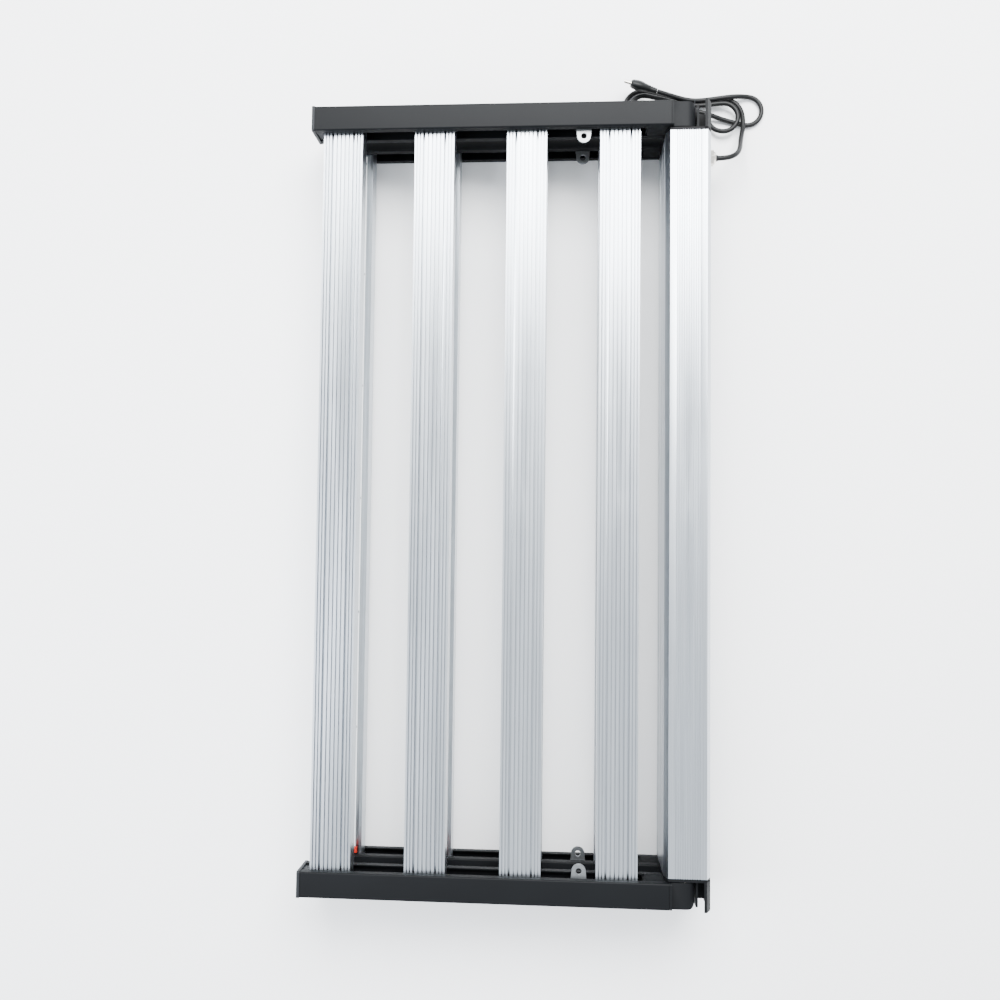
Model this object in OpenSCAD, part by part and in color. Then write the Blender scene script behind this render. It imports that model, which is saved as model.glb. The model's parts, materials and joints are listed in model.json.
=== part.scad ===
// Folding eight-bar grow light, folded shut like a book and lying on its back.
// X runs from the free edge of the wings to the hinge side, Y runs along the bars and Z is up.
// The origin is the middle of the folded light, at the level it lies on.
// A wing is drawn in its own frame: x from its free end, z = 0 on its outer, finned face.

/* [Light] */
// Length over both rails, along the bars
light_len = 1092; // [800:1:1400]
// Space between the two folded wings
fold_gap = 28; // [22:1:50]
// Distance from one bar to the next
bar_pitch = 129.5; // [90:0.5:160]
// Free end of a wing to the middle of its first bar
first_bar = 43; // [36:1:70]
// Middle of the last bar to the hinge end of the rail
last_bar = 69; // [66:0.5:100]

/* [Rails] */
// Width of a rail
rail_w = 34.5; // [30:0.5:50]
// Sheet thickness of a rail
rail_wall = 1.5; // [1.2:0.1:2.5]
// Height of each lip beside a rail's slot
lip_h = 11; // [8:0.5:16]
// Height of a rail's slot
slot_h = 26; // [22:0.5:34]
// Outer corner radius of a rail
rail_r = 2; // [1:0.5:3]
// Thickness of the plastic cap on the free end of a rail
cap_t = 4; // [2:0.5:8]
// How far the cap stands proud of the rail
cap_proud = 0.8; // [0:0.1:2]

/* [Bars] */
// Width of a bar
bar_w = 55.5; // [52:0.5:70]
// Thickness of a bar's floor
bar_floor = 2.6; // [2:0.1:4]
// Height of the flanges beside the board
flange_h = 4; // [3:0.5:6]
// Width of those flanges
flange_w = 4.2; // [2:0.1:6]
// Distance between the five middle fins
fin_pitch = 5.7; // [5:0.1:6.4]
// Thickness of a middle fin
fin_w = 4; // [2:0.1:4.4]
// Width of the two slots that take screws
screw_slot = 3; // [2.6:0.1:4]
// Width of the narrow slots between the outer fins
fin_slot = 1.7; // [1:0.1:2]
// Depth of the slots between the fins
fin_depth = 5; // [3:0.5:7]
// Thickness of the wall under the fins
crown_t = 1.8; // [1.4:0.1:2.4]
// Thickness of a bar's side walls
side_t = 1.8; // [1.4:0.1:2.4]
// Width of the two webs that hold the screw ports
web_w = 6.2; // [5.6:0.1:7]

/* [Boards] */
// Width of an LED board
board_w = 36; // [34:0.5:42]
// Thickness of an LED board
board_t = 1.6; // [1:0.1:2]
// Distance from a board's north end to its last screw
board_screw_end = 11; // [8:0.5:20]
// Width, length and height of a wire connector
connector = [15, 8.5, 5];

/* [Spine] */
// Width of the driver housing
spine_w = 62; // [56:1:80]
// How far the housing stays below the wings' outer faces
spine_recess = 6; // [4:0.5:10]
// Wall of the driver housing
spine_wall = 2.5; // [2:0.1:4]
// Width and depth of the sloped corners
spine_slope = [5.5, 11];
// Ribs on each broad face
rib_count = 10; // [6:1:12]
// Distance between those ribs
rib_pitch = 3.2; // [2.8:0.1:3.6]
// Thickness of a rib
rib_w = 2.2; // [1.6:0.1:2.4]
// Height of a rib
rib_h = 1.2; // [0.8:0.1:1.6]
// Thickness of an end bracket's base
bracket_t = 4; // [3:0.5:8]
// Wall of the guard beside the hinge
guard_wall = 3.5; // [2.5:0.5:5]
// How far the guard reaches past the rails
guard_over = 2.5; // [2.3:0.1:8]

/* [Hinges] */
// Radius of a hinge knuckle
knuckle_r = 13; // [10.5:0.5:16]
// Length of a hinge arm past its flange
arm_len = 31; // [28:0.5:34]
// Thickness of an arm's flange
arm_flange = 3; // [2:0.5:5]
// Length of the tongue inside the rail
tongue_len = 34; // [25:1:40]
// Radius of an arm's outer corner, seen from the broad side
arm_corner = 8; // [3:0.5:10]
// Diameter of a hinge pin
pin_d = 8; // [6:0.5:10]
// Distance from the housing's inner side to the hinge pins
pin_inset = 28; // [27:0.5:32]
// Thickness of a thrust washer
washer_t = 1; // [0.8:0.1:2]

/* [Hanging lugs] */
// How far a lug sits past the middle of the gap between the last two bars
lug_shift = 14.25; // [0:0.25:20]
// Distance from the rail to the middle of a lug's hole
lug_reach = 9.5; // [8:0.5:14]
// Radius of a lug's rounded end
lug_r = 9.5; // [8:0.5:10]
// Diameter of a lug's hole
lug_hole = 8; // [6:0.5:9]
// Thickness of a lug
lug_t = 2.5; // [2:0.1:4]

/* [Cord] */
// Diameter of the mains cord
cord_d = 7; // [6:0.5:8]
// Distance from the driver housing's end to the middle of the gland
gland_end = 18.3; // [16:0.1:100]
// Width across the flats of the gland
gland_af = 19; // [17:0.5:22]

/* [Hidden] */
$fn = 32;

bar_count = 4;        // bars in each wing
slot_gap = 0.1;       // between a bar or a lug and the lips of its slot
seat_gap = 0.2;       // between a piece and the rail it slides into
cap_to_bar = 2.25;    // between a cap's plug and the first bar
pin_gap = 0.05;       // running gap round a hinge pin, and round a screw in its hole
side_gap = 0.1;       // beside a thrust washer
far = 1;              // how far a cut runs past what it cuts

wing_t = 2 * lip_h + slot_h;
light_t = 2 * wing_t + fold_gap;
rail_end = first_bar + (bar_count - 1) * bar_pitch + last_bar;
rail_y0 = light_len / 2 - rail_w;
rail_y1 = light_len / 2;
web_y = rail_y1 - rail_wall;

flange_x = rail_end + 0.5;
arm_x = flange_x + arm_flange;
pin_x = arm_x + arm_len - knuckle_r;
pin_z = spine_recess + knuckle_r;
head_d = 1.8 * pin_d;
head_h = 5;

spine_x0 = pin_x - pin_inset;
light_w = spine_x0 + spine_w;
spine_h = light_t - 2 * spine_recess;
bracket_y1 = rail_y0 - washer_t - 2 * side_gap;
bracket_y0 = bracket_y1 - bracket_t;
guard_y1 = rail_y1 + guard_over;
boss_r = pin_d;
boss_h = 12;

bar_t = slot_h - 2 * slot_gap;
bar_half = web_y - seat_gap;
fin_h = bar_t - flange_h - bar_floor;
mid_fins = 2 * fin_pitch + fin_w / 2;
screw_x = mid_fins + screw_slot / 2;
outer_fin = (bar_w / 2 - mid_fins - screw_slot - 2 * fin_slot) / 3;
port_y = (fin_depth + crown_t + fin_h) / 2;
port_z = lip_h + slot_gap + port_y;

board_z = lip_h + slot_gap + fin_h + bar_floor;
board_half = rail_y0 - 2.5;
board_screw_pitch = (board_half - board_screw_end) / 3;
board_screw_rows = [-2 : 3];
board_screw_d = 2.9;
board_screw_head = [5.5, 1.6];
board_screw_len = 8;
screw_d = 3.5;
screw_head = [7, 2.2];
rail_screw_len = 16;

connector_x = screw_x - 1;
connector_y = 0.7 - rail_y0;
cable_d = 5;
cable_in = [16, 5.5];
lead_d = 1.8;

lug_x = first_bar + (bar_count - 1.5) * bar_pitch + lug_shift;
lug_head_y = rail_y0 - lug_reach;
lug_half = lug_r + 1;
lug_leg = 20;
lug_bolt_d = 6;

port_r = 1.7;
port_in = 7;
guide = [3, 1.6];
driver_z = light_t / 2 - 32;
driver_t = 1.6;
driver_half = bracket_y0 - 36.3;
coil = [36, 44, 26];
coil_pitch = (2 * driver_half - 5 * coil[1]) / 3;
capacitor = [22, 38];

gland_y = bracket_y0 - gland_end;
gland_z = light_t / 2;
gland_base_t = 4;
gland_nut_t = 9;
gland_seal_t = 4;
gland_thread_d = 14;
exit_x = light_w / 2 + gland_base_t + gland_nut_t + gland_seal_t;

// Middle of the cord, from the gland's mouth down to the hank on the floor.
CORD = [
    [exit_x, gland_y, gland_z], [exit_x + 4, gland_y, gland_z], [309, 489, 61], [318, 493, 57.5], [324.5, 499.5, 51.5],
    [328, 507, 45], [330.5, 515.5, 37], [332.5, 525.5, 28.5], [334.5, 535.5, 21], [337, 544.5, 16], [338.5, 552, 13]
];
cord_sides = 10;
hank_h = 15;
hank_loop = [346, 582];
hank_right = [310.5, 573.5];
hank_waist = [268, 587];
hank_left = [190, 591];
hank_left_low = [194, 583.5];
tie_w = 4;
tie_t = 1.2;
plug_face = [173, 616, 28.7];
plug_tail = [212.2, 604.8, 24.4];
plug_long = 41;
plug_turn = 16;
plug_dip = 6;
plug_lean = 26;

function unit(v) = v / norm(v);
function heading(path, i) =
    unit(path[min(i + 1, len(path) - 1)] - path[max(i - 1, 0)]);
function ring(path, i, r, sides) =
    let (t = heading(path, i), a = unit(cross(t, [0.6, -0.5, 0.6])), b = cross(t, a))
    [for (k = [0 : sides - 1]) path[i] + r * (cos(360 * k / sides) * a + sin(360 * k / sides) * b)];

// A round tube along a list of points, closed at both ends.
module sweep(path, r, sides) {
    last = len(path) - 1;
    points = [for (i = [0 : last]) each ring(path, i, r, sides)];
    walls = [for (i = [0 : last - 1], k = [0 : sides - 1])
        let (n = (k + 1) % sides)
        [i * sides + k, i * sides + n, (i + 1) * sides + n, (i + 1) * sides + k]];
    first_end = [[for (k = [sides - 1 : -1 : 0]) k]];
    last_end = [[for (k = [0 : sides - 1]) last * sides + k]];
    polyhedron(points, concat(first_end, walls, last_end));
}

// Puts a wing's own frame in its folded place.
module in_wing(side) {
    if (side == "upper")
        translate([-light_w / 2, 0, light_t]) mirror([0, 0, 1]) children();
    else
        translate([-light_w / 2, 0, 0]) children();
}

// Turns a piece drawn for the north end round for the south end.
module at_end(end) {
    if (end == "south")
        mirror([0, 1, 0]) children();
    else
        children();
}

module at_both_ends() {
    children();
    mirror([0, 1, 0]) children();
}

// A flat outline drawn in Y and Z, made thick along X.
module thick_x(x0, x1) {
    translate([x0, 0, 0]) rotate([90, 0, 90]) linear_extrude(x1 - x0) children();
}

// A flat outline drawn in X and Z, made thick along Y.
module thick_y(y0, y1) {
    translate([0, y1, 0]) rotate([90, 0, 0]) linear_extrude(y1 - y0) children();
}

// A cylinder along +Y.
module rod_y(x, z, y0, y1, d) {
    translate([x, y0, z]) rotate([-90, 0, 0]) cylinder(h = y1 - y0, d = d);
}

// A screw along Y whose head sits on the plane y and whose tip points to the middle.
module screw_y(x, z, y, d, reach) {
    rod_y(x, z, y - reach, y + screw_head[1] / 2, d);
    rod_y(x, z, y, y + screw_head[1], screw_head[0]);
}

module rounded_box_2d(x0, y0, x1, y1, r) {
    translate([x0 + r, y0]) square([x1 - x0 - 2 * r, y1 - y0]);
    translate([x0, y0 + r]) square([x1 - x0, y1 - y0 - 2 * r]);
    for (x = [x0 + r, x1 - r], y = [y0 + r, y1 - r])
        translate([x, y]) circle(r = r);
}

// Wings

function bar_at(i) = first_bar + i * bar_pitch;
function tongue_screws() = [flange_x - 10, flange_x - tongue_len + 8];

module rail(side, end) {
    color("#2b2f33") in_wing(side) at_end(end) difference() {
        thick_x(cap_t, rail_end) difference() {
            rounded_box_2d(rail_y0, 0, rail_y1, wing_t, rail_r);
            translate([rail_y0 + rail_wall, rail_wall])
                square([rail_w - 2 * rail_wall, wing_t - 2 * rail_wall]);
            translate([rail_y0 - far, lip_h]) square([rail_wall + 2 * far, slot_h]);
        }
        for (i = [0 : bar_count - 1], s = [-1, 1])
            rod_y(bar_at(i) + s * screw_x, port_z, web_y - far, rail_y1 + far, screw_d + 2 * pin_gap);
        for (x = tongue_screws())
            rod_y(x, wing_t / 2, web_y - far, rail_y1 + far, screw_d + 2 * pin_gap);
        rod_y(lug_x, wing_t / 2, web_y - far, rail_y1 + far, lug_bolt_d + 2 * pin_gap);
    }
}

module end_caps(side) {
    in = rail_wall + seat_gap;
    color("#1c1e20") in_wing(side) at_both_ends() {
        thick_x(0, cap_t)
            rounded_box_2d(rail_y0 - cap_proud, side == "lower" ? 0 : -cap_proud,
                rail_y1 + cap_proud, wing_t + cap_proud, rail_r + cap_proud);
        thick_x(cap_t / 2, first_bar - bar_w / 2 - cap_to_bar)
            translate([rail_y0 + in, in]) square([rail_w - 2 * in, wing_t - 2 * in]);
    }
}

// A hollow extrusion: slotted fins at the bottom, a shallow tray for the board at the top.
module bar_section() {
    chamber_y = fin_depth + crown_t;
    tray = bar_w / 2 - flange_w;
    difference() {
        translate([-bar_w / 2, 0]) square([bar_w, bar_t]);
        translate([-tray, bar_t - flange_h]) square([2 * tray, flange_h + far]);
        translate([-screw_x + web_w / 2, chamber_y])
            square([2 * screw_x - web_w, fin_h - chamber_y]);
        for (i = [-1.5 : 1.5])
            translate([i * fin_pitch - (fin_pitch - fin_w) / 2, -far])
                square([fin_pitch - fin_w, fin_depth + far]);
        for (s = [0, 1]) mirror([s, 0]) {
            translate([screw_x + web_w / 2, chamber_y])
                square([bar_w / 2 - side_t - screw_x - web_w / 2, fin_h - chamber_y]);
            translate([mid_fins, -far]) square([screw_slot, fin_depth + crown_t + 2 + far]);
            for (i = [0, 1])
                translate([bar_w / 2 - outer_fin - fin_slot - i * (outer_fin + fin_slot), -far])
                    square([fin_slot, fin_depth + far]);
            translate([screw_x, port_y]) circle(d = screw_d + 2 * pin_gap);
        }
    }
}

module bar(side, i) {
    color("#c9ced3") in_wing(side) translate([bar_at(i), 0, lip_h + slot_gap]) difference() {
        thick_y(-bar_half, bar_half) bar_section();
        for (k = board_screw_rows)
            translate([screw_x, k * board_screw_pitch, fin_h + bar_floor - board_screw_len])
                cylinder(h = board_screw_len + far, d = board_screw_d + 2 * pin_gap);
    }
}

module board(side, i) {
    color("#f2f2ee") in_wing(side) translate([bar_at(i), 0, board_z]) difference() {
        translate([-board_w / 2, -board_half, 0]) cube([board_w, 2 * board_half, board_t]);
        for (k = board_screw_rows)
            translate([screw_x, k * board_screw_pitch, -far])
                cylinder(h = board_t + 2 * far, d = board_screw_d + 2 * pin_gap);
    }
}

module board_screws(side) {
    color("#b9bcbe") in_wing(side)
        for (i = [0 : bar_count - 1], k = board_screw_rows)
            translate([bar_at(i) + screw_x, k * board_screw_pitch, board_z + board_t]) {
                cylinder(h = board_screw_head[1], d = board_screw_head[0]);
                translate([0, 0, -board_screw_len]) cylinder(h = board_screw_len + far, d = board_screw_d);
            }
}

module connectors(side) {
    color("#c23a2c") in_wing(side)
        for (i = [0 : bar_count - 1])
            translate([bar_at(i) + connector_x - connector[0] / 2, connector_y, board_z + board_t])
                cube(connector);
}

// Middle of the cable inside the south rail, in Y and in height.
cable_y = -rail_y1 + cable_in[0];
cable_z = wing_t - cable_in[1];

// One cable along the south rail, with a pair of leads up to each connector.
module wiring(side) {
    lead_z = board_z + board_t + lead_d / 2 + 0.2;
    cable_x0 = bar_at(0) + connector_x - 3;
    color("#16181a") in_wing(side) {
        translate([cable_x0, cable_y, cable_z]) rotate([0, 90, 0])
            cylinder(h = flange_x - tongue_len + 9 - cable_x0, d = cable_d);
        for (i = [0 : bar_count - 1], s = [-1, 1])
            translate([bar_at(i) + connector_x + lead_d * s, cable_y, lead_z]) {
                rotate([-90, 0, 0]) cylinder(h = connector_y - cable_y - pin_gap, d = lead_d);
                cylinder(h = cable_z - lead_z, d = lead_d);
                sphere(d = lead_d);
            }
    }
}

module rail_screws(side) {
    color("#8d9194") in_wing(side) at_both_ends() {
        for (i = [0 : bar_count - 1], s = [-1, 1])
            screw_y(bar_at(i) + s * screw_x, port_z, rail_y1, screw_d, rail_screw_len);
        for (x = tongue_screws())
            screw_y(x, wing_t / 2, rail_y1, screw_d, rail_screw_len);
    }
}

// The lug lies against the upper one of its slot's two lips, whichever wing it is in.
module lug(side, end) {
    tab_z = side == "upper" ? lip_h + slot_gap : lip_h + slot_h - slot_gap - lug_t;
    leg_z = side == "upper" ? tab_z : tab_z + lug_t - lug_leg;
    color("#c4c6c8") in_wing(side) at_end(end) translate([lug_x, 0, 0]) difference() {
        union() {
            translate([0, 0, tab_z]) linear_extrude(lug_t) {
                polygon([[-lug_half, web_y - seat_gap], [-lug_half, rail_y0], [-lug_r, lug_head_y],
                    [lug_r, lug_head_y], [lug_half, rail_y0], [lug_half, web_y - seat_gap]]);
                translate([0, lug_head_y]) circle(r = lug_r);
            }
            translate([-lug_half, web_y - seat_gap - lug_t, leg_z]) cube([2 * lug_half, lug_t, lug_leg]);
        }
        translate([0, lug_head_y, tab_z - far]) cylinder(h = lug_t + 2 * far, d = lug_hole);
        rod_y(0, wing_t / 2, web_y - seat_gap - lug_t - far, web_y + far, lug_bolt_d + 2 * pin_gap);
    }
}

module lug_bolts(side) {
    nut_y = web_y - seat_gap - lug_t - 0.1;
    color("#a9acae") in_wing(side) at_both_ends() translate([lug_x, 0, 0]) {
        rod_y(0, wing_t / 2, nut_y - 7, rail_y1 + 1, lug_bolt_d);
        rod_y(0, wing_t / 2, rail_y1, rail_y1 + screw_head[1], 1.7 * lug_bolt_d);
        difference() {
            translate([0, nut_y, wing_t / 2]) rotate([90, 0, 0])
                cylinder(h = 4.8, d = 1.92 * lug_bolt_d, $fn = 6);
            rod_y(0, wing_t / 2, nut_y - 6, nut_y + far, lug_bolt_d + 2 * pin_gap);
        }
    }
}

// Hinges

// What a rounded upright edge loses at a corner that points to +X and +Y.
module outer_corner(x, y, r) {
    translate([x - r, y - r, -far]) linear_extrude(light_t + 2 * far) difference() {
        square(r + far);
        circle(r = r);
    }
}

module arm(side, end) {
    in = rail_wall + seat_gap;
    arm_x1 = arm_x + arm_len;
    color("#24272a") in_wing(side) at_end(end) difference() {
        union() {
            thick_x(flange_x, arm_x) rounded_box_2d(rail_y0, 0, rail_y1, wing_t, rail_r);
            thick_x(flange_x - tongue_len, flange_x + far)
                translate([rail_y0 + in, in]) square([rail_w - 2 * in, wing_t - 2 * in]);
            thick_x(flange_x - tongue_len + 3, flange_x + far)
                translate([rail_y0 + seat_gap, lip_h + seat_gap])
                    square([rail_w / 2, slot_h - 2 * seat_gap]);
            thick_y(rail_y0, rail_y1) {
                translate([arm_x - far, spine_recess]) square([pin_x - arm_x + far, wing_t - spine_recess]);
                translate([arm_x - far, pin_z]) square([arm_len + far, wing_t - pin_z]);
                translate([pin_x, pin_z]) circle(r = knuckle_r, $fn = 64);
            }
        }
        rod_y(pin_x, pin_z, rail_y0 - far, rail_y1 + far, pin_d + 2 * pin_gap);
        rod_y(pin_x, pin_z, rail_y1 - head_h - 0.5, rail_y1 + far, head_d + 1);
        for (x = tongue_screws())
            rod_y(x, wing_t / 2, rail_y1 - rail_screw_len - far, rail_y1, screw_d + 2 * pin_gap);
        outer_corner(arm_x1, rail_y1, arm_corner);
        if (end == "south")
            translate([flange_x - tongue_len - far, -cable_y, cable_z])
                rotate([0, 90, 0]) cylinder(h = 12, d = cable_d + 4 * pin_gap);
    }
}

// The same piece, placed at all four hinges of the spine.
module at_hinges() {
    for (side = ["lower", "upper"])
        in_wing(side) at_both_ends() translate([pin_x, 0, pin_z]) children();
}

module hinge_pins() {
    color("#9a9da0") at_hinges() difference() {
        union() {
            rod_y(0, 0, bracket_y0 - boss_h, rail_y1 - head_h, pin_d);
            rod_y(0, 0, rail_y1 - head_h - 0.3, rail_y1 - 0.3, head_d);
        }
        translate([0, rail_y1 - 3, 0]) rotate([-90, 0, 0]) cylinder(h = 4, d = 6, $fn = 6);
    }
}

module hinge_washers() {
    color("#e8e4d8") at_hinges() difference() {
        rod_y(0, 0, bracket_y1 + side_gap, bracket_y1 + side_gap + washer_t, 2 * knuckle_r - 6);
        rod_y(0, 0, bracket_y1, rail_y0 + far, pin_d + 2 * pin_gap);
    }
}

// Spine

// The housing's outline, moved inwards by a distance.
module spine_outline(inset) {
    x = spine_w / 2 - inset;
    z = spine_h / 2 - inset;
    polygon([[-x, z - spine_slope[1]], [-x + spine_slope[0], z], [x - spine_slope[0], z],
        [x, z - spine_slope[1]], [x, -z + spine_slope[1]], [x - spine_slope[0], -z],
        [-x + spine_slope[0], -z], [-x, -z + spine_slope[1]]]);
}

module in_spine() {
    translate([(light_w - spine_w) / 2, 0, light_t / 2]) children();
}

// Middle of each screw port, near the four corners of the housing.
module at_ports() {
    for (s = [-1, 1], t = [-1, 1])
        translate([s * (spine_w / 2 - port_in), t * (spine_h / 2 - port_in)]) children();
}

// What the housing encloses, less the screw ports and the ledges that hold the driver board.
module spine_cavity() {
    difference() {
        spine_outline(spine_wall + rib_h);
        at_ports() circle(r = port_r + 2);
        for (s = [-1, 1], t = [-1, 1])
            translate([s * (spine_w / 2 - spine_wall - rib_h), driver_z - light_t / 2
                + t * (driver_t / 2 + side_gap + guide[1] / 2)])
                square([2 * guide[0], guide[1]], center = true);
    }
}

module spine_section() {
    difference() {
        spine_outline(0);
        spine_cavity();
        at_ports() circle(r = port_r);
        for (i = [0 : rib_count], t = [-1, 1])
            translate([(i - rib_count / 2) * rib_pitch, t * spine_h / 2])
                square([rib_pitch - rib_w, 2 * rib_h], center = true);
        for (s = [-1, 1], t = [-1 : 1])
            translate([s * spine_w / 2, t * spine_h / 4]) square([1.6, 3], center = true);
    }
}

module spine_housing() {
    color("#cdd2d6") difference() {
        in_spine() thick_y(-bracket_y0, bracket_y0) spine_section();
        translate([light_w / 2 - spine_wall - rib_h - 5, gland_y, gland_z]) rotate([0, 90, 0])
            cylinder(h = spine_wall + rib_h + 10, d = gland_thread_d + 4 * pin_gap);
    }
}

// The guard follows the housing's outer side, and a web joins it to one more wall inside it.
module spine_bracket(end) {
    x = spine_w / 2;
    z = spine_h / 2 + 2;
    inner = x - spine_slope[0] - guard_wall - 0.5;
    rib_x = pin_x + knuckle_r + 3.5 - (spine_x0 + spine_w / 2);
    rib_z = spine_h / 2 - spine_slope[1];
    color("#24272a") at_end(end) difference() {
        in_spine() {
            thick_y(bracket_y0, bracket_y1) spine_outline(0);
            thick_y(bracket_y1 - far, guard_y1)
                polygon([[inner, z], [inner + guard_wall, z], [x, z - spine_slope[1]],
                    [x, spine_slope[1] - z], [inner + guard_wall, -z], [inner, -z],
                    [x - guard_wall, spine_slope[1] - z], [x - guard_wall, z - spine_slope[1]]]);
            thick_y(bracket_y1 - far, rail_y1)
                translate([rib_x - 1.5, -rib_z]) square([3, 2 * rib_z]);
            thick_y(bracket_y1 - far, rail_y1 - 4)
                translate([rib_x, -spine_h / 5]) square([x - guard_wall / 2 - rib_x, 0.4 * spine_h]);
            for (t = [-1, 1])
                rod_y(pin_x - spine_x0 - x, t * (light_t / 2 - pin_z), bracket_y0 - boss_h + far,
                    bracket_y0 + far, 2 * boss_r);
        }
        outer_corner(light_w / 2, guard_y1, 2);
        in_spine() thick_y(bracket_y0 - far, bracket_y1 + far) at_ports() circle(r = port_r + 0.3);
        in_spine() thick_y(bracket_y1 - 2.6, bracket_y1 + far) at_ports() circle(r = 3.7);
        for (side = ["lower", "upper"])
            in_wing(side) rod_y(pin_x, pin_z, bracket_y0 - boss_h, bracket_y1 + far, pin_d + 2 * pin_gap);
    }
}

module bracket_screws() {
    color("#8d9194") at_both_ends() in_spine() {
        thick_y(bracket_y1 - 2.5, bracket_y1 - 0.2) at_ports() circle(r = 3.5);
        thick_y(bracket_y0 - 14, bracket_y1 - 1) at_ports() circle(r = port_r - pin_gap);
    }
}

// Driver

module driver_board() {
    half_w = spine_w / 2 - spine_wall - rib_h - 0.3;
    color("#1f6b3a") in_spine()
        translate([-half_w, -driver_half, driver_z - light_t / 2 - driver_t / 2])
            cube([2 * half_w, 2 * driver_half, driver_t]);
}

function coils_at() = [for (i = [-1.5 : 1.5]) i * coil_pitch];

// Four wound parts in a row on the board.
module driver_coils() {
    color("#d9b24a") in_spine()
        for (y = coils_at())
            translate([-coil[0] / 2, y - coil[1] / 2, driver_z - light_t / 2 + driver_t / 2]) {
                cube(coil);
                translate([4, 5, coil[2] - far]) cube([coil[0] - 8, coil[1] - 10, 6]);
            }
}

module driver_capacitors() {
    color("#22262b") in_spine()
        for (y = coils_at(), share = [0.25, 0.375], x = [-13, 13])
            translate([x, y - sign(y) * share * coil_pitch, driver_z - light_t / 2 + driver_t / 2])
                cylinder(h = capacitor[1], d = capacitor[0]);
}

// Cord

module in_gland() {
    translate([light_w / 2, gland_y, gland_z]) rotate([0, 90, 0]) children();
}

// A hexagon with its flats a given distance apart.
module hex(h, af) {
    cylinder(h = h, d = af / cos(30), $fn = 6);
}

module gland_body() {
    color("#d6d3cb") in_gland() difference() {
        union() {
            hex(gland_base_t, gland_af);
            translate([0, 0, -spine_wall - rib_h - 6]) cylinder(h = spine_wall + rib_h + 7, d = gland_thread_d);
            translate([0, 0, -spine_wall - rib_h - 4.6]) hex(3.5, gland_af + 1);
            cylinder(h = gland_base_t + 6, d = gland_thread_d);
        }
        translate([0, 0, -spine_wall - rib_h - 7]) cylinder(h = 40, d = cord_d + 3);
    }
}

module gland_nut() {
    color("#dedbd4") in_gland() difference() {
        union() {
            translate([0, 0, gland_base_t + side_gap]) hex(gland_nut_t - 3, gland_af);
            translate([0, 0, gland_base_t + gland_nut_t - 3]) cylinder(h = 3, d1 = gland_af, d2 = gland_af - 4);
        }
        translate([0, 0, gland_base_t]) cylinder(h = 6.2, d = gland_thread_d + 2 * pin_gap);
        cylinder(h = 40, d = cord_d + 3);
    }
}

// The rubber seal fills the gland and tapers down to the cord outside it.
module gland_seal() {
    inside = spine_wall + rib_h + 4;
    color("#1b1c1d") in_gland() {
        translate([0, 0, -inside]) cylinder(h = inside + gland_base_t + gland_nut_t, d = cord_d + 2.8);
        translate([0, 0, gland_base_t + gland_nut_t - 0.1])
            cylinder(h = gland_seal_t + 0.1, d1 = cord_d + 2.8, d2 = cord_d + 0.6);
    }
}

module cord_tube() {
    color("#17181a") sweep(CORD, cord_d / 2, cord_sides);
}

module disc(at, r) {
    translate(at) circle(r = r);
}

// The outer shape of the folded cord, with a groove round its waist for the tie.
module cord_hank() {
    color("#17181a") difference() {
        union() {
            linear_extrude(hank_h) {
                hull() {
                    disc(hank_loop, 25.6);
                    disc(hank_right, 31.5);
                    disc(hank_waist, 12);
                }
                hull() {
                    disc(hank_waist, 12);
                    disc(hank_left, 28);
                    disc(hank_left_low, 25.6);
                }
            }
            // the last strand climbs to the plug, which lies on the hank
            hull() {
                linear_extrude(hank_h) disc(hank_waist + [-12, 3], 6);
                translate(plug_tail + [4.5, -1.3, -4]) cylinder(h = 8, r = 4.5);
            }
        }
        translate([hank_waist[0] - tie_w / 2 - 1, hank_waist[1], 0]) {
            translate([0, -30, -far]) cube([tie_w + 2, 60, far + tie_t + pin_gap]);
            for (s = [-1, 1])
                translate([0, s * 21 - 10, -far]) cube([tie_w + 2, 20, hank_h + 2 * far]);
        }
    }
}

// A flat tie round the waist of the hank.
module cord_tie() {
    color("#202224") translate([hank_waist[0] - tie_w / 2, hank_waist[1], 0]) difference() {
        translate([0, -11 - tie_t, 0]) cube([tie_w, 22 + 2 * tie_t, hank_h + tie_t]);
        translate([-far, -11, tie_t]) cube([tie_w + 2 * far, 22, hank_h - tie_t + 0.1]);
    }
}

// From the plug's face along its body, which leans over and dips towards its cord.
module in_plug() {
    translate(plug_face) rotate([0, 0, -plug_turn]) rotate([0, plug_dip, 0]) rotate([plug_lean, 0, 0]) children();
}

// A moulded plug that lies on its edge on the hank, with its pins one above the other.
module plug_body() {
    color("#17181a") in_plug() {
        hull() {
            translate([0, -5, -9]) cube([1, 10, 18]);
            translate([4, -7.5, -7.5]) cube([12, 15, 15]);
            translate([4, -4, -11.3]) cube([12, 8, 22.6]);
            translate([26, 0, 0]) rotate([0, 90, 0]) cylinder(h = 1, d = 11);
        }
        hull() {
            translate([26, 0, 0]) rotate([0, 90, 0]) cylinder(h = 1, d = 11);
            translate([plug_long - 1, 0, 0]) rotate([0, 90, 0]) cylinder(h = 1, d = cord_d + 1);
        }
    }
}

module plug_pins() {
    color("#cfd0d0") in_plug()
        for (s = [-1, 1])
            translate([-10, 0, s * 6.4]) rotate([0, 90, 0]) cylinder(h = 10, d = 4.8);
}

for (side = ["lower", "upper"]) {
    for (end = ["north", "south"]) {
        rail(side, end);
        arm(side, end);
        lug(side, end);
    }
    for (i = [0 : bar_count - 1]) {
        bar(side, i);
        board(side, i);
    }
    end_caps(side);
    board_screws(side);
    connectors(side);
    wiring(side);
    rail_screws(side);
    lug_bolts(side);
}
spine_housing();
spine_bracket("north");  // spine_bracket_north
spine_bracket("south");  // spine_bracket_south
bracket_screws();
hinge_pins();
hinge_washers();
driver_board();
driver_coils();
driver_capacitors();
gland_body();
gland_nut();
gland_seal();
cord_tube();
cord_hank();
cord_tie();
plug_body();
plug_pins();
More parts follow.
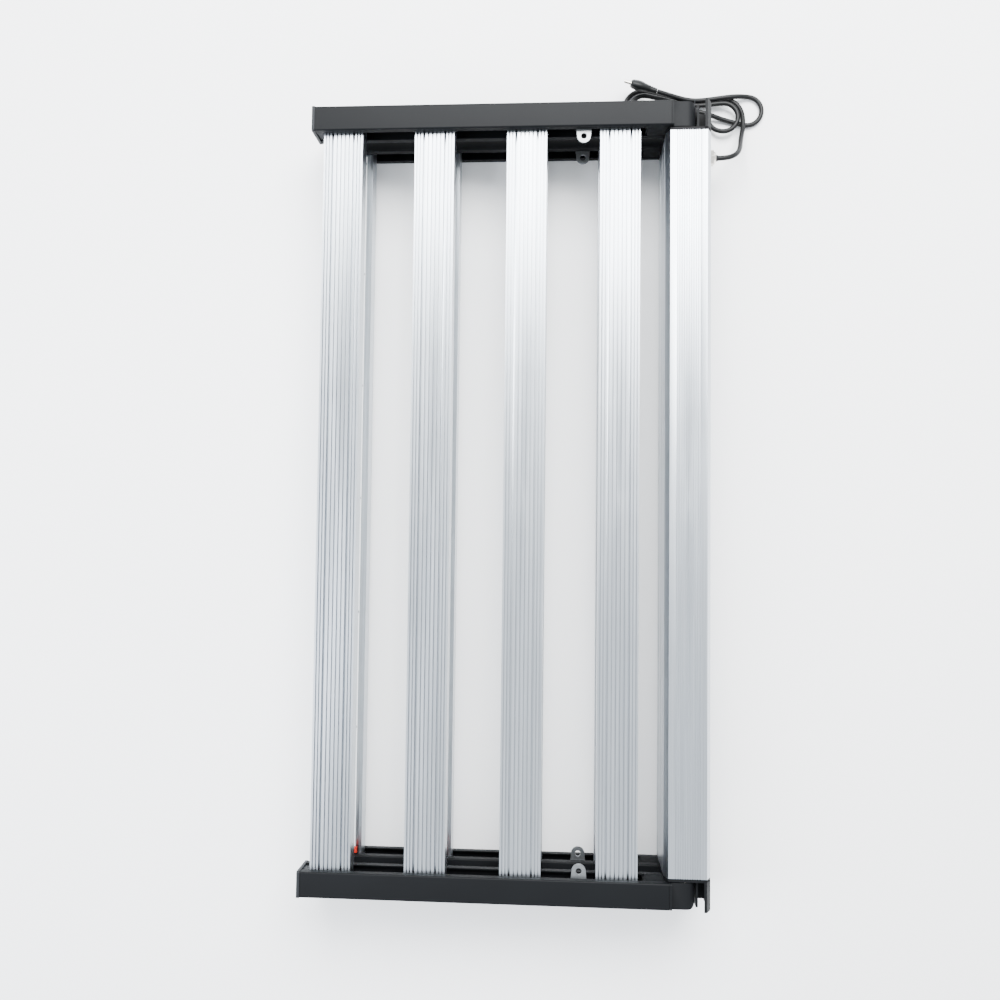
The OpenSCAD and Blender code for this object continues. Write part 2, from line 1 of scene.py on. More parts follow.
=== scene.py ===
# %% [markdown]
# # A folding LED grow light, shut like a book
# Two wings of finned aluminium bars hang on a long driver housing by four hinges. Folded, the
# LEDs face each other and the light lies flat on the floor with its mains cord tied in a hank.
# The mechanical model is loaded first as a fixed frame. Everything below either gives one of
# its pieces a finish, or stands in for it with a more detailed shape in the same place.

# %% Load the frame
import json
import math

import bmesh
import bpy
from mathutils import Euler, Matrix, Vector


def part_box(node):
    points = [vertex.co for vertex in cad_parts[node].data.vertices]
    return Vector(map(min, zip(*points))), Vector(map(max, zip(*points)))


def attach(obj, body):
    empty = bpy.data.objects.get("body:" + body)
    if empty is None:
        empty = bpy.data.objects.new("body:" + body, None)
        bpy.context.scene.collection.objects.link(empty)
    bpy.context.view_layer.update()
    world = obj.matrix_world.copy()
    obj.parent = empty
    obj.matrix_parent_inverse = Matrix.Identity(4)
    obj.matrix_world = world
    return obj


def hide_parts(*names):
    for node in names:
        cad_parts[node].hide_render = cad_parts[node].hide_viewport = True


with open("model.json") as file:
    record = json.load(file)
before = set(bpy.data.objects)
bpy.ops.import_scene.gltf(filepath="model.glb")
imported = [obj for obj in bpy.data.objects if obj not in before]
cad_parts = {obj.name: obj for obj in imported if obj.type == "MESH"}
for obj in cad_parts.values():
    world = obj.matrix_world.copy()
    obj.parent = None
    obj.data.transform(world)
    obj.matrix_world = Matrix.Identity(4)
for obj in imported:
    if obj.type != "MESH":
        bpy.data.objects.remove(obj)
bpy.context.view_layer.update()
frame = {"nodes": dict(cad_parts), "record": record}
nodes = frame["nodes"]
MM = 0.001

# %% [markdown]
# ## The camera
# A new camera looks straight down with +Y at the top of its picture, which is how the light is
# seen. It stands a little over head height, and three small turns give the slight lean.

# %% Camera
camera = bpy.data.objects.new("camera", bpy.data.cameras.new("camera"))
camera.data.sensor_width = 36
camera.data.lens = 34.85
camera.location = (0.0786, -0.0660, 1.4358)
camera.rotation_euler = Euler([math.radians(a) for a in (2.64, 3.75, 0.64)], "ZXY")
camera.rotation_mode = "ZXY"
bpy.context.collection.objects.link(camera)
bpy.context.scene.camera = camera
print("camera at", tuple(camera.location))

# %% [markdown]
# ## Small helpers
# Every piece made here goes through `place`, which hangs it on the body it rides on and hides the mechanical
# nodes it stands in for. Shapes made with `keep` are built in millimetres and scaled to metres there.

# %% Helpers for pieces
SLOT_OF = {row["node"]: row["material_slot"] for row in frame["record"]["subparts"]}
BODY_OF = {node: body for body, names in frame["record"]["behaviour"]["bodies"].items() for node in names}


def keep(name, shape, body, slot, replaced=(), smooth=40):
    """Turns a bmesh in millimetres into a piece, smooth wherever faces meet at a small angle."""
    bmesh.ops.scale(shape, vec=(MM, MM, MM), verts=shape.verts)
    mesh = bpy.data.meshes.new(name)
    shape.to_mesh(mesh)
    shape.free()
    mesh.shade_smooth()
    mesh.set_sharp_from_angle(angle=math.radians(smooth))
    return place(bpy.data.objects.new(name, mesh), body, slot, replaced)


MADE = []


def place(piece, body, slot, replaced=()):
    """Links a finished piece, hangs it on its body and hides the nodes it stands in for."""
    MADE.append((piece, slot))
    bpy.context.collection.objects.link(piece)
    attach(piece, body)
    if replaced:
        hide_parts(*replaced)
    return piece


def middle(node):
    """The middle of a mechanical node's box, in millimetres."""
    low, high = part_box(node)
    return (low + high) / 2 / MM


# %% [markdown]
# ## The mains cord
# A 7 mm rubber-sheathed lead leaves its gland sideways, bends down to the floor under its own
# weight and runs into a hank in two layers, pulled together by a tie. The hank has two folds on
# the left, and an inner loop and a wide outer one on the right. Each fold is drawn as an arc of
# 21 mm or more, about three diameters, and evening the line out leaves several a little tighter.
# The route is one line of points: the free stretch is a list, and the hank's bends are arcs.

# %% Route of the cord
CORD_D = 7
FREE_RUN = [
    (295, 488, 62), (299, 488, 62), (309, 489, 61), (318, 493, 57.5), (324.5, 499.5, 51.5), (328, 507, 45),
    (330.5, 515.5, 37), (332.5, 525.5, 28.5), (334.5, 535.5, 21), (337, 544.5, 16), (338.5, 552, 13),
]
LOW, HIGH = 3.7, 10.9  # heights of the hank's two layers
WAIST_LIFT = 0.8  # the tie passes under the strands
EVENING = 14  # passes that even out the line


def arc(centre, radius, start, stop, z0, z1, step=18):
    """Points round a centre from one angle to another, in degrees, climbing evenly."""
    count = max(2, round(abs(stop - start) / step))
    for i in range(count + 1):
        turn = math.radians(start + (stop - start) * i / count)
        yield (centre[0] + radius * math.cos(turn), centre[1] + radius * math.sin(turn),
               z0 + (z1 - z0) * i / count)


HANK = [
    # in over the outer loop, round the right end and out to the left
    (339.3, 559, 11.7), (339.3, 566, 10.2), *arc((310.5, 573.5), 28.5, 0, 40, 8, 4.2, 20),
    *arc((310.5, 573.5), 28.5, 60, 98, LOW, LOW, 19), (288, 598.2, LOW), (268, 594.5, LOW + WAIST_LIFT),
    (250, 598.3, LOW), (224, 606.2, LOW), *arc((190, 591), 24.5, 75, 280, LOW, LOW),
    (217, 571, LOW), (240, 575, LOW), *arc((266, 555.5), 24, 98, 38, LOW + WAIST_LIFT, LOW + 0.4),
    # the inner loop climbs to the upper layer
    *arc((310.5, 570.2), 21.6, 216, 252, 7.6, HIGH), *arc((310.5, 570.2), 21.6, 270, 456, HIGH, HIGH),
    (288, 589.6, HIGH), (268, 587, HIGH + WAIST_LIFT), (250, 590.4, HIGH), (224, 598.2, HIGH),
    *arc((194, 583.5), 22, 76, 283, HIGH, HIGH), (219, 567.2, HIGH), (240, 572.6, HIGH),
    # down under the inner loop and round the wide outer one, then back on top to the plug
    *arc((267.5, 549.5), 30, 104, 74, HIGH + WAIST_LIFT, HIGH + WAIST_LIFT, 15),
    (287, 575.8, HIGH), (299, 572.4, 7.6), (312, 569, LOW), (327, 565.2, LOW),
    *arc((346, 582), 22, 256, 436, LOW, LOW), (341, 603.4, 5.8), (331, 602.2, 9.4), (318, 600.8, HIGH),
    (303, 599, HIGH), (288, 597, HIGH), (268, 594.5, HIGH + WAIST_LIFT), (252, 597, 13.6), (237, 600, 17.4),
    (224, 602.4, 21.4), (212.2, 604.8, 24.4),
]
route = [Vector(p) * MM for p in FREE_RUN + HANK]


def smooth_line(points, steps=4):
    """The same route with extra points on a smooth curve through every point, evened out a little."""
    line = []
    for i in range(len(points) - 1):
        before, here, there, after = (points[max(0, min(len(points) - 1, i + k))] for k in (-1, 0, 1, 2))
        for k in range(steps):
            t = k / steps
            line.append(0.5 * (2 * here + (there - before) * t
                               + (2 * before - 5 * here + 4 * there - after) * t**2
                               + (3 * here - before - 3 * there + after) * t**3))
    line.append(points[-1])
    for _ in range(EVENING):
        middles = [(a + 2 * b + c) / 4 for a, b, c in zip(line, line[1:], line[2:])]
        line = [*line[:2], *middles[1:-1], *line[-2:]]
    return line


cord_line = smooth_line(route)

# %% Cord
def tube(name, points, radius, body, slot, replaced=(), closed=False, sides=4):
    """A round tube swept along a line of points in metres."""
    line = bpy.data.curves.new(name, "CURVE")
    line.dimensions = "3D"
    line.bevel_depth = radius * MM
    line.bevel_resolution = sides
    line.use_fill_caps = not closed
    strand = line.splines.new("POLY")
    strand.points.add(len(points) - 1)
    for dot, at in zip(strand.points, points):
        dot.co = (*at, 1)
    strand.use_cyclic_u = closed
    holder = bpy.data.objects.new(name, line)
    mesh = bpy.data.meshes.new_from_object(holder)
    bpy.data.objects.remove(holder)
    bpy.data.curves.remove(line)
    mesh.name = name
    mesh.shade_smooth()
    mesh.set_sharp_from_angle(angle=math.radians(50))
    return place(bpy.data.objects.new(name, mesh), body, slot, replaced)


mains_cord = tube("mains_cord", cord_line, CORD_D / 2, "spine", "cable_sheath",
                  ("cord_tube", "cord_hank"), sides=5)
print("cord tube:", len(mains_cord.data.polygons), "faces")

# %% [markdown]
# ## Softening machined and moulded edges
# A sharp computer edge never catches the light, and a real one always does, because it was
# rolled, cast or deburred. So most mechanical nodes get a stand-in: a copy whose loose
# triangles are merged into clean faces, finished by a Bevel modifier as wide as the real edge.

# %% Copies with soft edges
def softened(node, width, segments=2, angle=30):
    """A copy of a mechanical node with its sharp edges rounded to a width in millimetres."""
    shape = bmesh.new()
    shape.from_mesh(nodes[node].data)
    bmesh.ops.remove_doubles(shape, verts=shape.verts, dist=0.004 * MM)
    bmesh.ops.dissolve_limit(shape, angle_limit=math.radians(0.5), verts=shape.verts, edges=shape.edges)
    bmesh.ops.scale(shape, vec=(1 / MM,) * 3, verts=shape.verts)
    piece = keep(node + "_finished", shape, BODY_OF[node], SLOT_OF[node], (node,))
    bevel = piece.modifiers.new("soft_edges", "BEVEL")
    bevel.width = width * MM
    bevel.segments = segments
    bevel.limit_method = "ANGLE"
    bevel.angle_limit = math.radians(angle)
    bevel.harden_normals = True
    return piece


EDGE_MM = {"_rail_": 0.5, "_end_caps": 0.8, "_arm_": 0.9, "_bar_": 0.6, "spine_housing": 0.35,
           "spine_bracket": 0.8, "_lug_n": 0.5, "_lug_s": 0.5, "_connectors": 0.6, "gland_": 0.5,
           "_lug_bolts": 0.3, "hinge_pins": 0.5, "_board_": 0.15}
for node in nodes:
    if "screws" in node:
        continue
    for part, width in EDGE_MM.items():
        if part in node:
            softened(node, width, 3 if part == "_bar_" else 2)
            break

# %% [markdown]
# ## Finishes
# Each finish is one node tree on the Principled shader. Patterns read Object coordinates,
# which are metres in the light's own frame, so a scale is one over a real size.

# %% Helpers for finishes
def srgb(code):
    """A hex colour as the linear numbers that shaders use."""
    parts = [int(code[i:i + 2], 16) / 255 for i in (1, 3, 5)]
    return [*(p / 12.92 if p < 0.0405 else ((p + 0.055) / 1.055) ** 2.4 for p in parts), 1]


def add(tree, kind, sockets, **settings):
    """Adds a node; each socket gets a number, a colour or another node's output."""
    node = tree.nodes.new(kind)
    for name, value in settings.items():
        setattr(node, name, value)
    for name, value in sockets.items():
        if isinstance(value, bpy.types.NodeSocket):
            tree.links.new(value, node.inputs[name])
        else:
            node.inputs[name].default_value = value
    return node


def start(name, **sockets):
    """A material with its constant sockets set; returns its tree, shader and coordinates."""
    material = bpy.data.materials.new(name)
    material.use_nodes = True
    tree = material.node_tree
    shader = tree.nodes["Principled BSDF"]
    for socket, value in sockets.items():
        shader.inputs[socket.replace("_", " ")].default_value = value
    place_node = add(tree, "ShaderNodeTexCoord", {})
    return material, tree, shader, place_node.outputs["Object"]


def between(tree, amount, low, high):
    """Maps 0 to 1 onto a range."""
    return add(tree, "ShaderNodeMapRange", {"Value": amount, "To Min": low, "To Max": high}).outputs[0]


def mix(tree, amount, dark, light):
    """Maps 0 to 1 onto two colours, set by place because a Mix node's sockets share names."""
    node = tree.nodes.new("ShaderNodeMix")
    node.data_type = "RGBA"
    tree.links.new(amount, node.inputs[0])
    node.inputs[6].default_value = srgb(dark)
    node.inputs[7].default_value = srgb(light)
    return node.outputs[2]


def streaks(tree, coords, across_mm, along_mm):
    """Noise drawn out along Y, like the die lines of an extrusion."""
    size = (1 / (across_mm * MM), 1 / (along_mm * MM), 1 / (across_mm * MM))
    stretched = add(tree, "ShaderNodeMapping", {"Vector": coords, "Scale": size})
    return add(tree, "ShaderNodeTexNoise",
               {"Vector": stretched.outputs[0], "Scale": 1, "Detail": 3, "Roughness": 0.6}).outputs[0]


def grain(tree, coords, size_mm, detail=2):
    """Even noise whose blobs have a real size."""
    return add(tree, "ShaderNodeTexNoise",
               {"Vector": coords, "Scale": 1 / (size_mm * MM), "Detail": detail}).outputs[0]


def bump(tree, shader, height, depth_mm, strength=1.0):
    """Joins a height pattern to the shader's normal."""
    lifted = add(tree, "ShaderNodeBump", {"Height": height, "Distance": depth_mm * MM, "Strength": strength})
    tree.links.new(lifted.outputs[0], shader.inputs["Normal"])


# %% [markdown]
# ### Anodised aluminium
# The bars and the housing are extruded from 6063 alloy and clear anodised. The die leaves
# faint lines along the length, and the oxide makes a soft, slightly blurred shine.

# %% Anodised aluminium
def anodised():
    material, tree, shader, coords = start("anodised_6063_aluminium", Metallic=1.0, Anisotropic=0.35)
    lines = streaks(tree, coords, 1.6, 260)
    cloud = grain(tree, coords, 60)
    tree.links.new(mix(tree, lines, "#8f969d", "#c6cbd0"), shader.inputs["Base Color"])
    tree.links.new(between(tree, cloud, 0.26, 0.34), shader.inputs["Roughness"])
    bump(tree, shader, lines, 0.02, 0.5)
    return material


# %% [markdown]
# ### Black rails and castings
# The rails are extrusions with a fine satin powder coat. The hinge arms and brackets are
# die castings, coated the same but a shade rougher.

# %% Black coats
COAT_SHEEN = 0.1  # how strongly a coat mirrors its surroundings; 0.5 is the usual plastic


def powder_coat(name, dark, light, rough, grit_mm):
    material, tree, shader, coords = start(name, Specular_IOR_Level=COAT_SHEEN)
    specks = grain(tree, coords, grit_mm, 4)
    tree.links.new(mix(tree, grain(tree, coords, 90), dark, light), shader.inputs["Base Color"])
    tree.links.new(between(tree, specks, rough - 0.05, rough + 0.07), shader.inputs["Roughness"])
    bump(tree, shader, specks, 0.03, 0.6)
    return material


# %% [markdown]
# ### Plain metals
# Zinc plate on screws and lugs is a little dull and patchy. The nickel on the gland is
# bright. Both are metals, so only colour and roughness change.

# %% Zinc, nickel and steel
def plated(name, dark, light, rough):
    material, tree, shader, coords = start(name, Metallic=1.0)
    patches = grain(tree, coords, 2.5, 3)
    tree.links.new(mix(tree, patches, dark, light), shader.inputs["Base Color"])
    tree.links.new(between(tree, patches, rough - 0.05, rough + 0.1), shader.inputs["Roughness"])
    bump(tree, shader, grain(tree, coords, 0.7), 0.01, 0.4)
    return material


# %% [markdown]
# ### Plastics, rubber and the LED boards
# Moulded plastic takes a fine spark-eroded texture from its mould. Rubber is darker and
# blurs its shine. The boards carry a glossy white solder mask.

# %% Plastics and rubber
MOULDED_SHEEN = 0.2


def moulded(name, dark, light, rough, grit_mm, depth_mm):
    material, tree, shader, coords = start(name, Specular_IOR_Level=MOULDED_SHEEN)
    pores = grain(tree, coords, grit_mm, 3)
    tree.links.new(mix(tree, grain(tree, coords, 25), dark, light), shader.inputs["Base Color"])
    tree.links.new(between(tree, pores, rough - 0.05, rough + 0.08), shader.inputs["Roughness"])
    bump(tree, shader, pores, depth_mm, 0.6)
    return material


FINISH = {
    "anodised_aluminium": anodised(),
    "black_rail": powder_coat("satin_black_powder_coat", "#08090b", "#0c0e10", 0.5, 1.1),
    "black_casting": powder_coat("black_coated_casting", "#090a0c", "#0d0f11", 0.55, 1.6),
    "zinc_screw": plated("zinc_plated_steel", "#8d9093", "#b4b7b9", 0.38),
    "lug_steel": plated("bright_zinc_sheet", "#6f7274", "#8f9294", 0.34),
    "nickel": plated("nickel_plated_brass", "#c6c2b9", "#e2dfd8", 0.18),
    "cap_plastic": moulded("black_abs", "#15171a", "#1c1f22", 0.5, 0.8, 0.03),
    "plug_plastic": moulded("black_pvc_plug", "#060708", "#0a0b0c", 0.45, 1.0, 0.03),
    "red_plastic": moulded("red_nylon_connector", "#a3231a", "#c33327", 0.35, 0.9, 0.02),
    "nylon": moulded("natural_nylon", "#d9d4c4", "#e6e2d5", 0.45, 1.0, 0.02),
    "white_board": moulded("white_solder_mask", "#e4e6e6", "#f2f3f2", 0.28, 1.5, 0.01),
    "green_board": moulded("green_solder_mask", "#14512b", "#1b6536", 0.3, 1.5, 0.01),
    "coil_tape": moulded("yellow_polyester_tape", "#c79a2a", "#d9b145", 0.35, 2.0, 0.02),
    "capacitor_sleeve": moulded("capacitor_sleeve_pvc", "#14171f", "#1d212b", 0.25, 2.0, 0.01),
    "black_rubber": moulded("black_gland_rubber", "#101112", "#17181a", 0.6, 1.0, 0.03),
    "cable_sheath": moulded("rubber_cable_sheath", "#060607", "#0a0b0c", 0.42, 1.2, 0.02),
}
print("finishes:", len(FINISH))


# %% [markdown]
# ## Screw heads
# The rails are held by pan-head machine screws with a cross recess. One head is spun from half its outline
# and copied to every screw's place. A black plastic cross laid in each top is painted shade for the dark of
# the recess.
# The heads replace the plain ones, and their shanks are out of sight.

# %% Screws
def pan_head(across, high, segments=20):
    """A plain pan head on the XY plane, its top towards +Z; the dark cross on it is a separate piece."""
    shape = bmesh.new()
    r = across / 2
    outline = [(0, high), (0.55 * r, 0.97 * high), (0.82 * r, 0.78 * high), (0.97 * r, 0.4 * high),
               (r, 0), (0, 0)]
    rim = [shape.verts.new((x, 0, z)) for x, z in outline]
    edges = [shape.edges.new(pair) for pair in zip(rim, rim[1:])]
    bmesh.ops.spin(shape, geom=rim + edges, cent=(0, 0, 0), axis=(0, 0, 1), angle=math.tau,
                   steps=segments, use_merge=True)
    bmesh.ops.remove_doubles(shape, verts=shape.verts, dist=0.001)
    bmesh.ops.recalc_face_normals(shape, faces=shape.faces)
    return shape


def painted_shade_cross(across, high):
    """A black cross of painted shade, standing for a recess, that lies in the top of a head."""
    shape = bmesh.new()
    for turn in (0, 90):
        bar = bmesh.ops.create_cube(shape, size=1)["verts"]
        spin = Matrix.Rotation(math.radians(turn), 4, "Z")
        bmesh.ops.transform(shape, verts=bar, matrix=Matrix.Translation((0, 0, high)) @ spin
                            @ Matrix.Diagonal((0.52 * across, 0.11 * across, 0.12, 1)))
    return shape


def scattered(name, one, spots, body, slot, replaced=()):
    """One piece made of a small shape repeated at each matrix in a list."""
    pattern = bpy.data.meshes.new(name + "_one")
    one.to_mesh(pattern)
    one.free()
    shape = bmesh.new()
    for spot in spots:
        before = len(shape.verts)
        shape.from_mesh(pattern)
        shape.verts.ensure_lookup_table()
        bmesh.ops.transform(shape, verts=shape.verts[before:], matrix=spot)
    bpy.data.meshes.remove(pattern)
    return keep(name, shape, body, slot, replaced)


LIGHT_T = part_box("upper_rail_north")[1].z / MM
RAIL_Y1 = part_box("upper_rail_north")[1].y / MM
BAR_X = [middle(f"lower_bar_{i}").x for i in (1, 2, 3, 4)]
SCREW_X = 14.9  # from the middle of a bar to its screws
TONGUE_X = (197, 213)  # the screws that hold the hinge arms
OUTWARD = {1: Matrix.Rotation(math.radians(-90), 4, "X"), -1: Matrix.Rotation(math.radians(90), 4, "X")}
RAIL_HEAD, BOARD_HEAD = (7, 2.2), (5.5, 1.6)  # across and high
BOARD_SCREW_PITCH = 166


def in_wing(side, x, y, z):
    """A place in a wing, with z counted from its finned outer face towards its LEDs."""
    if side == "lower":
        return Matrix.Translation((x, y, z))
    return Matrix.Translation((x, y, LIGHT_T - z)) @ Matrix.Rotation(math.pi, 4, "X")


def rail_spots(side):
    """Where the screws through the rails sit, heads outwards."""
    for sign in (1, -1):
        for x in [b + s * SCREW_X for b in BAR_X for s in (-1, 1)] + list(TONGUE_X):
            yield Matrix.Translation((x, sign * RAIL_Y1, middle(f"{side}_rail_screws").z)) @ OUTWARD[sign]


def board_spots(side):
    """Where the screws through the boards sit, six to a bar."""
    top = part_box(f"{side}_board_1")[1 if side == "lower" else 0].z / MM
    height = top if side == "lower" else LIGHT_T - top
    rows = [k * BOARD_SCREW_PITCH for k in range(-2, 4)]
    return [in_wing(side, x + SCREW_X, y, height) for x in BAR_X for y in rows]


for side in ("lower", "upper"):
    wing = side + "_wing"
    scattered(f"{side}_rail_screw_heads", pan_head(*RAIL_HEAD), rail_spots(side), wing, "zinc_screw",
              (f"{side}_rail_screws",))
    # the black plastic crosses here and on the board heads are painted shade for the recesses
    scattered(f"{side}_rail_screw_painted_shade_crosses", painted_shade_cross(*RAIL_HEAD), rail_spots(side), wing, "cap_plastic")
    scattered(f"{side}_board_screw_heads", pan_head(*BOARD_HEAD, 14), board_spots(side), wing, "zinc_screw",
              (f"{side}_board_screws",))
    scattered(f"{side}_board_screw_painted_shade_crosses", painted_shade_cross(*BOARD_HEAD), board_spots(side), wing,
              "cap_plastic")
print("bars at x =", [round(x, 1) for x in BAR_X])

# %% [markdown]
# ## LED chips
# Each board carries two rows of small white LED packages, each a white cup with a pad of
# yellow phosphor. Folded, they face each other and hide; they show when a wing opens. A chip
# is repeated many hundreds of times, so it has only a few faces.

# %% LED chips
CHIP = (2.8, 3.5, 0.7)
PHOSPHOR = (2.1, 2.7, 0.15)
CHIP_ROWS = (-5, 5)
CHIP_PITCH = 11.8
CHIP_COUNT = 84
BOARD_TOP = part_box("lower_board_1")[1].z / MM


def block(size, inset=0.0):
    """A block that stands on the XY plane, its top face drawn in a little."""
    shape = bmesh.new()
    bmesh.ops.create_cube(shape, size=1)
    bmesh.ops.scale(shape, vec=size, verts=shape.verts)
    bmesh.ops.translate(shape, vec=(0, 0, size[2] / 2), verts=shape.verts)
    top = [v for v in shape.verts if v.co.z > size[2] / 2]
    shrink = 1 - inset
    bmesh.ops.scale(shape, vec=(shrink, shrink, 1), verts=top)
    bottom = [f for f in shape.faces if f.normal.z < -0.9]
    bmesh.ops.delete(shape, geom=bottom, context="FACES_ONLY")
    return shape


def chip_spots(side, lift):
    """Where the chips of a wing sit, lifted off their boards."""
    rows = [(x + dx, (k - (CHIP_COUNT - 1) / 2) * CHIP_PITCH) for x in BAR_X for dx in CHIP_ROWS
            for k in range(CHIP_COUNT)]
    return [in_wing(side, x, y, BOARD_TOP + lift) for x, y in rows]


for side in ("lower", "upper"):
    scattered(f"{side}_led_cups", block(CHIP, 0.06), chip_spots(side, 0), side + "_wing", "white_board")
    scattered(f"{side}_led_phosphor", block(PHOSPHOR, 0.2), chip_spots(side, CHIP[2]), side + "_wing",
              "coil_tape")
print("chips in each wing:", len(chip_spots("lower", 0)))

# %% [markdown]
# ### Solder pads
# A short row of bare test pads lies beside each connector, where the board is programmed.

# %% Solder pads
PAD = (1.5, 1.5, 0.12)
PAD_Y = (-480, -484, -488, -492, -496)
for side in ("lower", "upper"):
    pad_spots = [in_wing(side, x + SCREW_X, y, BOARD_TOP) for x in BAR_X for y in PAD_Y]
    scattered(f"{side}_test_pads", block(PAD, 0.1), pad_spots, side + "_wing", "black_rubber")
print("test pads in each wing:", len(pad_spots))

# %% [markdown]
# ## The plug
# A moulded two-pin plug leans on its edge on top of the hank's left end. Its body is a row of
# flattened rings joined into one skin: a blunt face, a wide grip, a waist for the fingers and
# a strain relief of soft ridges that thins down to the cord.

# %% Plug
def rings(shape, stations, segments=28):
    """A skin over ellipses; a station is x, y, z, half width and half height."""
    loops = []
    for x, y, z, wide, high in stations:
        made = bmesh.ops.create_circle(shape, segments=segments, radius=1)["verts"]
        turn = Matrix(((0, 0, 1), (1, 0, 0), (0, 1, 0))).to_4x4()
        bmesh.ops.transform(shape, verts=made, matrix=Matrix.Translation((x, y, z)) @ turn
                            @ Matrix.Diagonal((wide, high, 1, 1)))
        loops.append(made)
    for here, there in zip(loops, loops[1:]):
        both = set(here) | set(there)
        edges = [e for e in shape.edges if e.verts[0] in both and e.verts[1] in both]
        bmesh.ops.bridge_loops(shape, edges=[e for e in edges if len(e.link_faces) < 2])
    for end in (loops[0], loops[-1]):
        bmesh.ops.contextual_create(shape, geom=end)
    bmesh.ops.recalc_face_normals(shape, faces=shape.faces)


FACE, TAIL = Vector((173, 616, 28.7)), Vector((212.2, 604.8, 24.4))
LEAN = 26
GRIP = [(0, 4.6, 9), (0.8, 5.3, 10.2), (3, 6.4, 11.3), (9, 7.3, 11.7), (15, 7.4, 11.4), (19, 6.6, 9.8),
        (23, 5.7, 7.6), (26, 5.4, 6.2), (27.4, 5.3, 5.6)]
RIDGES = 4
RELIEF_FROM, RELIEF_LONG = 28, 12.8
CREST, GROOVE = (5.3, 1.3), (4.6, 0.9)  # half thickness at the grip, and what it loses by the cord
plug_shape = bmesh.new()
stations = [(x, 0, 0, wide, high) for x, wide, high in GRIP]
for k in range(2 * RIDGES):
    share = (k + 0.5) / (2 * RIDGES)
    full, taper = GROOVE if k % 2 else CREST
    thick = full - taper * share
    stations.append((RELIEF_FROM + share * RELIEF_LONG, 0, 0, thick, thick))
rings(plug_shape, stations)
axis = (TAIL - FACE).normalized()
plug_turn = (Matrix.Translation(FACE) @ axis.to_track_quat("X", "Z").to_matrix().to_4x4()
             @ Matrix.Rotation(math.radians(LEAN), 4, "X"))
bmesh.ops.transform(plug_shape, verts=plug_shape.verts, matrix=plug_turn)
plug = keep("mains_plug", plug_shape, "spine", "plug_plastic", ("plug_body",), 50)
print("plug:", len(plug.data.polygons), "faces")

# %% [markdown]
# ## The tie
# A plastic-coated wire goes once round the waist of the hank, and its two ends are twisted
# together on top. The loop is a rounded box of wire. The twist is two thinner wires wound round
# each other.

# %% Twist tie
waist = middle("cord_tie")
tie_low, tie_high = (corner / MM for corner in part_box("cord_tie"))
LOOP_R, END_R, WOUND_R = 0.6, 0.45, 0.55  # the loop's wire, each end's wire, and how wide they wind


def tie_loop():
    """A rounded box round the hank's waist, drawn in Y and Z."""
    half_y, half_z = (tie_high.y - tie_low.y) / 2 - LOOP_R, (tie_high.z - tie_low.z) / 2 - LOOP_R
    bend = 6
    points = []
    for start_turn, sy, sz in ((0, 1, 1), (90, -1, 1), (180, -1, -1), (270, 1, -1)):
        for k in range(5):
            turn = math.radians(start_turn + 22.5 * k)
            points.append((waist.x, waist.y + sy * (half_y - bend) + bend * math.cos(turn),
                           waist.z + sz * (half_z - bend) + bend * math.sin(turn)))
    return points


def twist(phase):
    """One of two wires wound round each other, leaning over the top of the hank."""
    for k in range(25):
        turn, share = math.radians(phase + 60 * k), k / 24
        yield (waist.x - 1 + 7 * share + WOUND_R * math.cos(turn),
               waist.y - 2 - 9 * share + WOUND_R * math.sin(turn),
               tie_high.z - 0.9 + 0.25 * math.sin(turn) + 1.2 * math.sin(math.pi * share))


tie_band = tube("tie_loop", [Vector(p) * MM for p in tie_loop()], LOOP_R, "spine", "cap_plastic",
                ("cord_tie",), closed=True)
tie_ends = [tube(f"tie_end_{k + 1}", [Vector(p) * MM for p in twist(180 * k)], END_R, "spine", "cap_plastic")
            for k in (0, 1)]
print("tie: one loop and", len(tie_ends), "twisted ends")

# %% [markdown]
# ## Giving each piece its finish
# A piece names a finish when it is made. The mechanical nodes that still show get theirs too.

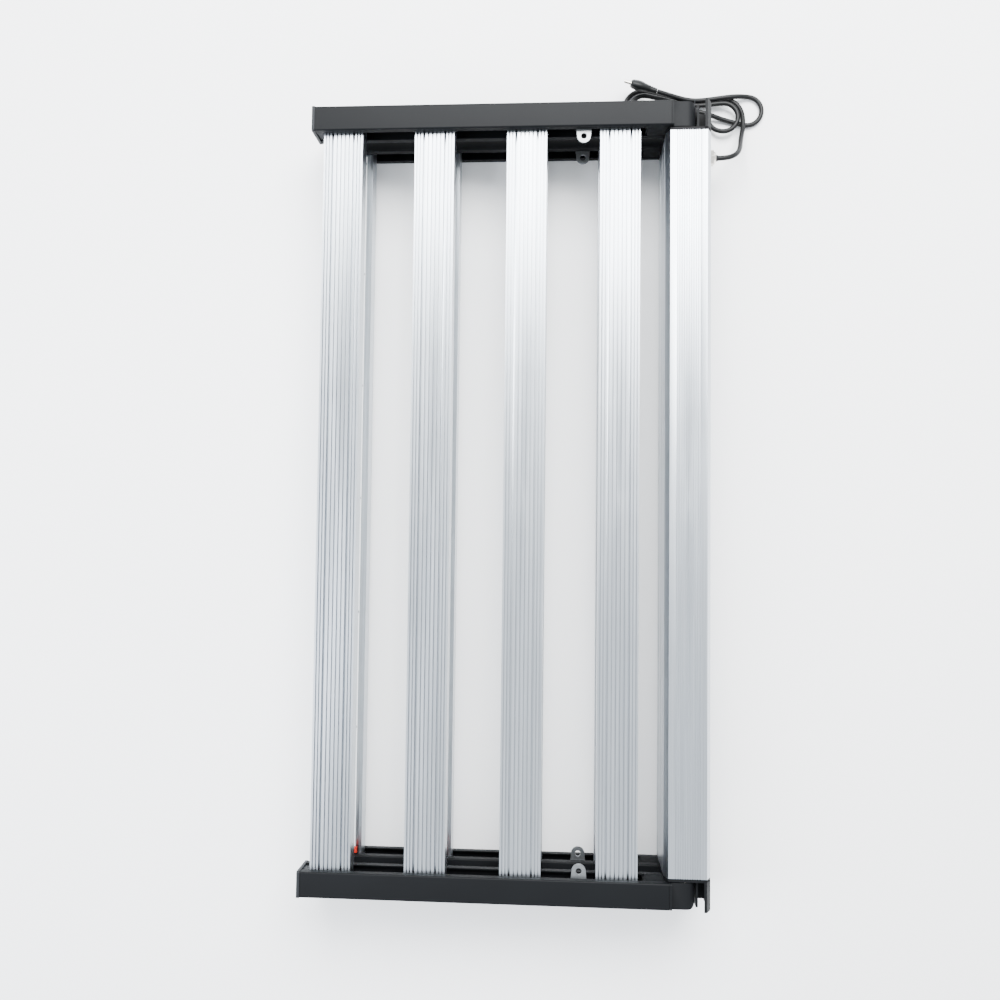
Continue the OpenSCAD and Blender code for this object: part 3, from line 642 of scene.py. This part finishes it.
# %% Finishes on pieces
for piece, slot in MADE:
    if not piece.data.materials:
        piece.data.materials.append(FINISH[slot])
for node, thing in nodes.items():
    for own in thing.material_slots:
        own.material = FINISH[SLOT_OF[node]]
print("pieces with a finish:", len(MADE))

# %% [markdown]
# ## Floor and light
# A plain pale floor and soft studio light. The main softbox hangs beyond the end with the cord,
# so the bars mirror it there and darken towards the other end.

# %% Floor
FLOOR_HALF = 6
FLOOR_DROP = 0.0006  # keeps the floor clear of the faces that lie on it
floor_shape = bmesh.new()
bmesh.ops.create_grid(floor_shape, x_segments=1, y_segments=1, size=FLOOR_HALF)
floor_mesh = bpy.data.meshes.new("floor")
floor_shape.to_mesh(floor_mesh)
floor_shape.free()
floor = bpy.data.objects.new("floor", floor_mesh)
floor_mesh.transform(Matrix.Translation((0, 0, -FLOOR_DROP)))
paper, paper_tree, paper_shader, paper_coords = start("pale_backdrop_paper", Roughness=0.9)
paper_tree.links.new(mix(paper_tree, grain(paper_tree, paper_coords, 400), "#f4f5f6", "#fafafa"),
                     paper_shader.inputs["Base Color"])
floor_mesh.materials.append(paper)
bpy.context.collection.objects.link(floor)
print("floor:", 2 * FLOOR_HALF, "m across")


# %% Lights
def softbox(name, at, towards, size, watts, colour):
    """A rectangular area light that faces a point."""
    lamp = bpy.data.lights.new(name, "AREA")
    lamp.shape = "RECTANGLE"
    lamp.size, lamp.size_y = size
    lamp.energy = watts
    lamp.color = srgb(colour)[:3]
    holder = bpy.data.objects.new(name, lamp)
    holder.location = at
    holder.rotation_euler = (Vector(towards) - Vector(at)).to_track_quat("-Z", "Y").to_euler()
    bpy.context.collection.objects.link(holder)


softbox("main_softbox", (0.35, 1.7, 2.3), (0, 0.1, 0), (2.4, 1.6), 330, "#ffffff")
softbox("fill_softbox", (-1.9, -0.4, 1.9), (0, 0, 0), (1.2, 2.4), 100, "#f2f6ff")
sky = bpy.data.worlds.new("studio")
sky.use_nodes = True
sky.node_tree.nodes["Background"].inputs["Color"].default_value = srgb("#eef2f6")
sky.node_tree.nodes["Background"].inputs["Strength"].default_value = 2.2
bpy.context.scene.world = sky
print("lights ready")
